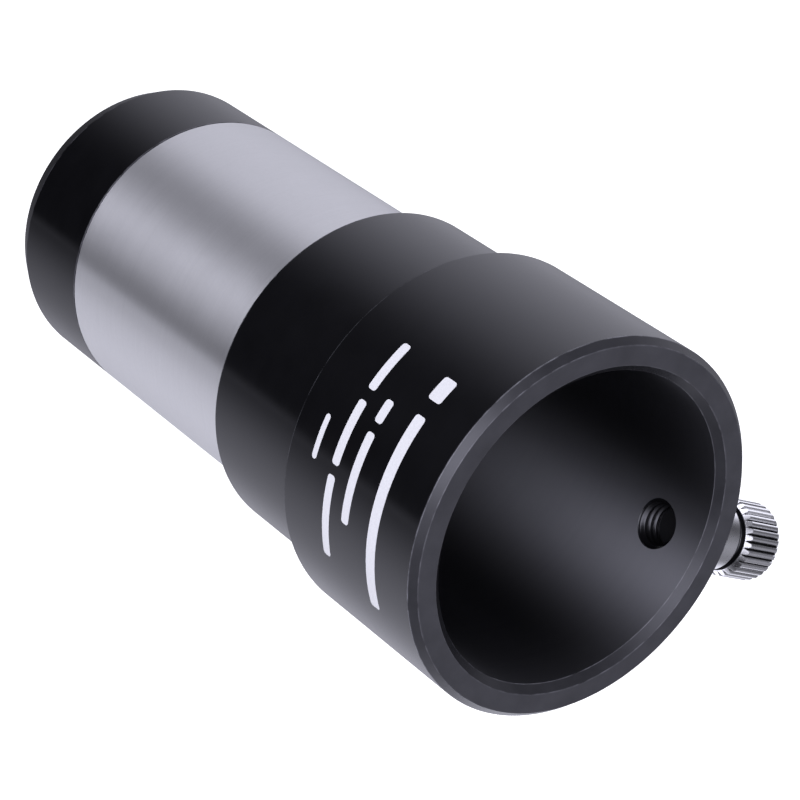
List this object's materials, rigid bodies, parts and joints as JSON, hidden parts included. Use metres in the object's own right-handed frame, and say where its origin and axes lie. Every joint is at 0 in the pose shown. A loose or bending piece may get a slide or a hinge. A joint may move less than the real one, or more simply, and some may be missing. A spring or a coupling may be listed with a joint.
{
  "type": "barlow lens",
  "caption": "Tubular magnifying lens unit for a telescope: a black eyepiece holder with a knurled thumbscrew, a plain silver nosepiece and a screw-in lens cell.",
  "frame": {"origin": "on the optical axis, in the plane of the shoulder that rests on a focuser's end (the rear face of the neck)", "axes": "+Z along the optical axis towards the eyepiece end, +X along the thumbscrew's axis away from the tube, +Y completes a right-handed frame"},
  "size_m": [0.0491, 0.0386, 0.0803],
  "materials": {
    "black_anodised": "satin black anodised, turned",
    "silver_barrel": "fine turned satin silver",
    "matt_black": "matt black anodised",
    "coated_glass": "polished, antireflection coated",
    "bright_plated": "bright nickel and chrome plate",
    "white_print": "thin white screen print"
  },
  "bodies": {
    "tube": {"eyepiece_holder": "black_anodised", "barrel": "silver_barrel", "barrel_baffle": "matt_black"},
    "screw_shank": {"thumbscrew_shank": "bright_plated"},
    "screw_head": {"thumbscrew_head": "bright_plated"},
    "cell_glass": {"crown_element": "coated_glass", "lens_spacer": "matt_black", "flint_element": "coated_glass"},
    "cell_shell": {"lens_cell": "black_anodised", "lens_retaining_ring": "matt_black"}
  },
  "joints": [
    {"name": "thumbscrew_travel", "type": "slide", "parent": "tube", "child": "screw_shank", "axis": [1, 0, 0], "range_m": [-0.0028, 0.0004]},
    {"name": "thumbscrew_turn", "type": "hinge", "parent": "screw_shank", "child": "screw_head", "pos_m": [0.0223, 0, 0.02973], "axis": [1, 0, 0], "range_deg": [-1260.5, 180.5]},
    {"name": "cell_travel", "type": "slide", "parent": "tube", "child": "cell_glass", "axis": [0, 0, -1], "range_m": [0, 0.0036]},
    {"name": "cell_turn", "type": "hinge", "parent": "cell_glass", "child": "cell_shell", "pos_m": [0, 0, -0.031], "axis": [0, 0, -1], "range_deg": [0, 2160.5]}
  ],
  "couplings": [
    {"joint": "thumbscrew_turn", "follows": "thumbscrew_travel", "rad_per_m": 7854},
    {"joint": "cell_turn", "follows": "cell_travel", "rad_per_m": 10472}
  ]
}
